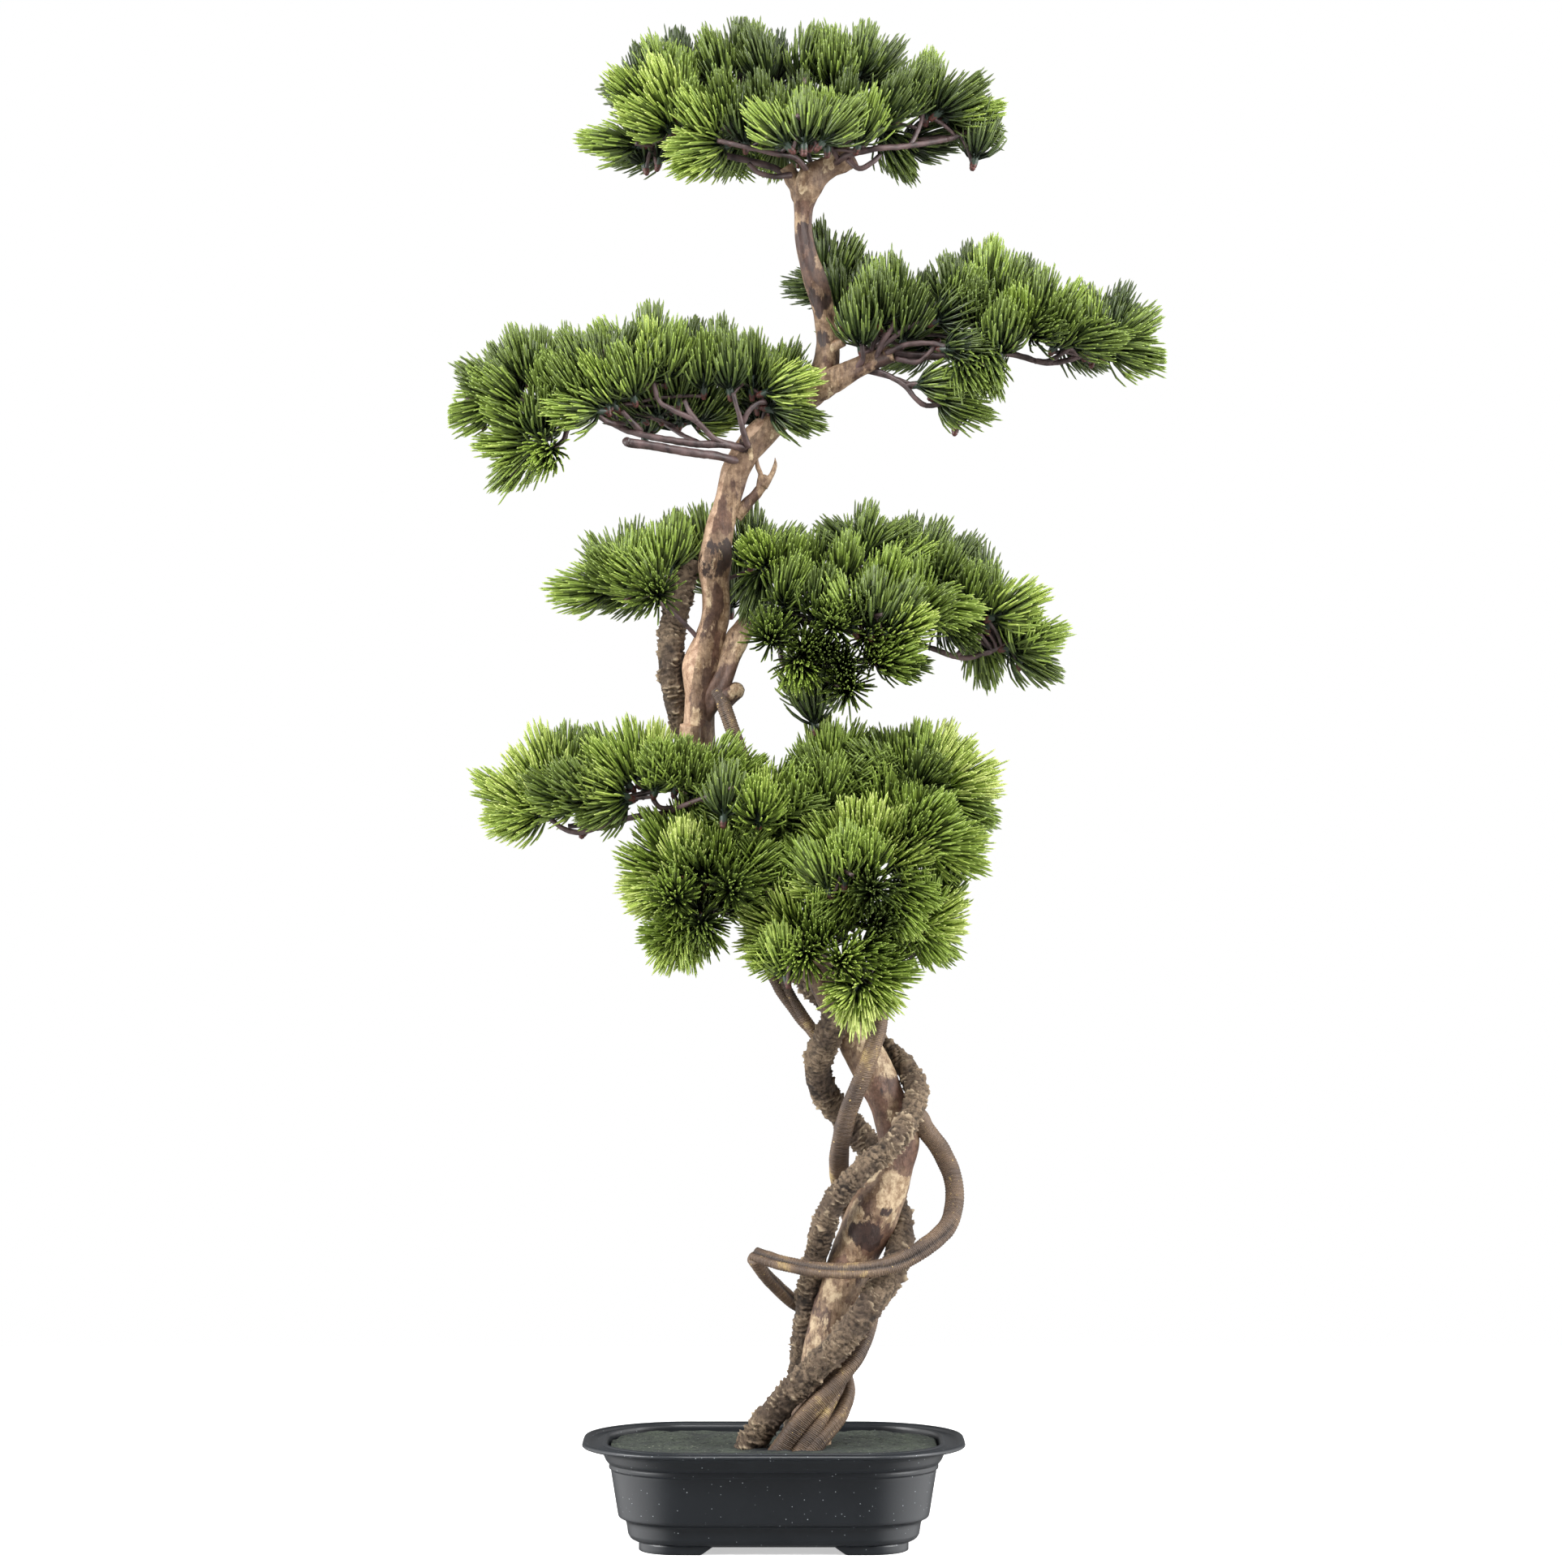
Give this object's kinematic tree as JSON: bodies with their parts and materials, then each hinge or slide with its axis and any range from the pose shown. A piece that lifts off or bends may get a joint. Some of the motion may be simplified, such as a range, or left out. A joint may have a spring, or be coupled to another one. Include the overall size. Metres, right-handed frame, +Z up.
{
  "type": "artificial potted bonsai pine",
  "caption": "Artificial bonsai pine: a bent bare trunk wound with vines, five tiers of needle tufts on thin boughs, in a shallow rectangular plastic pot with foam soil.",
  "frame": {"origin": "centre of the bounding box's underside, on the level surface that the pot's feet stand on", "axes": "+Z up along the plant's height, +X along the pot's length to the viewer's right, +Y away from the viewer"},
  "size_m": [0.5664, 0.2274, 1.2012],
  "materials": {
    "pot_plastic": "satin, fine pale specks",
    "soil_foam": "matt foam",
    "trunk_wood": "smooth dry wood with dark stains",
    "rough_vine": "flaking dry bark",
    "smooth_vine": "finely wrinkled bark with pale scuffs",
    "bough_plastic": "satin",
    "needle_plastic": "satin"
  },
  "bodies": {
    "root": {"crown_back": "needle_plastic", "crown_bough_left": "bough_plastic", "crown_bough_right": "bough_plastic", "crown_crest_left": "needle_plastic", "crown_crest_right": "needle_plastic", "crown_front": "needle_plastic", "crown_left": "needle_plastic", "crown_left_low": "needle_plastic", "crown_right": "needle_plastic", "crown_right_tip": "needle_plastic", "left_back": "needle_plastic", "left_bough": "bough_plastic", "left_bough_lower": "bough_plastic", "left_crest": "needle_plastic", "left_hanging": "needle_plastic", "left_inner": "needle_plastic", "left_tip": "needle_plastic", "loop_vine_back": "smooth_vine", "loop_vine_front": "smooth_vine", "loop_vine_side": "smooth_vine", "lower_back": "needle_plastic", "lower_bough_front": "bough_plastic", "lower_bough_left": "bough_plastic", "lower_bough_right": "bough_plastic", "lower_crest": "needle_plastic", "lower_front": "needle_plastic", "lower_hanging": "needle_plastic", "lower_inner": "needle_plastic", "lower_left_front": "needle_plastic", "lower_left_low": "needle_plastic", "lower_left_tip": "needle_plastic", "lower_right_low": "needle_plastic", "lower_right_tip": "needle_plastic", "middle_back": "needle_plastic", "middle_bough": "trunk_wood", "middle_bough_right": "bough_plastic", "middle_crest": "needle_plastic", "middle_front": "needle_plastic", "middle_left": "needle_plastic", "middle_low": "needle_plastic", "middle_tip": "needle_plastic", "pot": "pot_plastic", "right_back": "needle_plastic", "right_bough": "trunk_wood", "right_bough_outer": "bough_plastic", "right_crest": "needle_plastic", "right_front": "needle_plastic", "right_hanging": "needle_plastic", "right_inner": "needle_plastic", "right_tip": "needle_plastic", "rough_vine_left": "rough_vine", "rough_vine_right": "rough_vine", "rough_vine_upper": "rough_vine", "smooth_vine_foot": "smooth_vine", "smooth_vine_left": "smooth_vine", "smooth_vine_right": "smooth_vine", "soil": "soil_foam", "trunk": "trunk_wood"}
  },
  "joints": []
}
